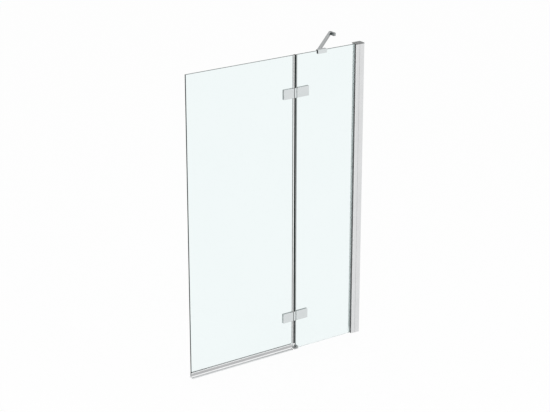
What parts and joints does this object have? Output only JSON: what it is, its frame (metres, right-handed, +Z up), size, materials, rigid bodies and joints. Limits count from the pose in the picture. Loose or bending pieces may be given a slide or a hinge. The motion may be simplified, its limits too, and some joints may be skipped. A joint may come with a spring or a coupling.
{
  "type": "hinged bath screen",
  "caption": "Two-pane hinged glass bath screen with a wall profile, glass-to-glass hinges, seals and an angled brace to the wall.",
  "frame": {"origin": "on the wall plane, in the middle of the glass thickness, at bath-rim level", "axes": "+X into the wall (the screen reaches from the wall towards -X), +Y to the side with the stabiliser brace, +Z up"},
  "size_m": [0.977, 0.2751, 1.505],
  "materials": {
    "glass": "clear toughened glass with a faint green tint",
    "chrome": "polished",
    "profile": "bright anodised",
    "cap_plastic": "satin moulded",
    "clear_seal": "clear flexible PVC with a dark soft bulb",
    "wiper": "clear flexible PVC",
    "rubber": "matt",
    "grey_rubber": "soft grey gaskets",
    "nylon": "natural",
    "steel": "plain"
  },
  "bodies": {
    "fixed_side": {"fixed_glass": "glass", "wall_channel": "profile", "glass_channel": "profile", "glazing_gasket_front": "rubber", "glazing_gasket_back": "grey_rubber", "channel_screws": "steel", "profile_top_cap": "cap_plastic", "rim_foot": "chrome", "brace_arm": "chrome", "brace_clamp": "chrome", "brace_clamp_liner": "rubber", "brace_grub_screws": "steel", "brace_joint_screws": "steel", "brace_wall_bracket": "chrome", "brace_wall_plate": "steel", "brace_bracket_grub": "steel", "lower_hinge_fixed_leaf": "chrome", "lower_hinge_fixed_plate": "chrome", "lower_hinge_fixed_gaskets": "grey_rubber", "lower_hinge_fixed_screws": "steel", "lower_hinge_pin": "steel", "lower_hinge_washer": "nylon", "upper_hinge_fixed_leaf": "chrome", "upper_hinge_fixed_plate": "chrome", "upper_hinge_fixed_gaskets": "grey_rubber", "upper_hinge_fixed_screws": "steel", "upper_hinge_pin": "steel", "upper_hinge_washer": "nylon"},
    "swing_panel": {"swing_glass": "glass", "bottom_rail": "profile", "bottom_seal": "wiper", "seal_lower": "clear_seal", "seal_middle": "clear_seal", "seal_upper": "clear_seal", "lower_hinge_swing_leaf": "chrome", "lower_hinge_swing_plate": "chrome", "lower_hinge_swing_gaskets": "grey_rubber", "lower_hinge_swing_screws": "steel", "lower_hinge_bush": "nylon", "upper_hinge_swing_leaf": "chrome", "upper_hinge_swing_plate": "chrome", "upper_hinge_swing_gaskets": "grey_rubber", "upper_hinge_swing_screws": "steel", "upper_hinge_bush": "nylon"}
  },
  "joints": [
    {"name": "panel_swing", "type": "hinge", "parent": "fixed_side", "child": "swing_panel", "pos_m": [-0.385, 0, 0.75], "axis": [0, 0, 1], "range_deg": [-90, 90]}
  ]
}
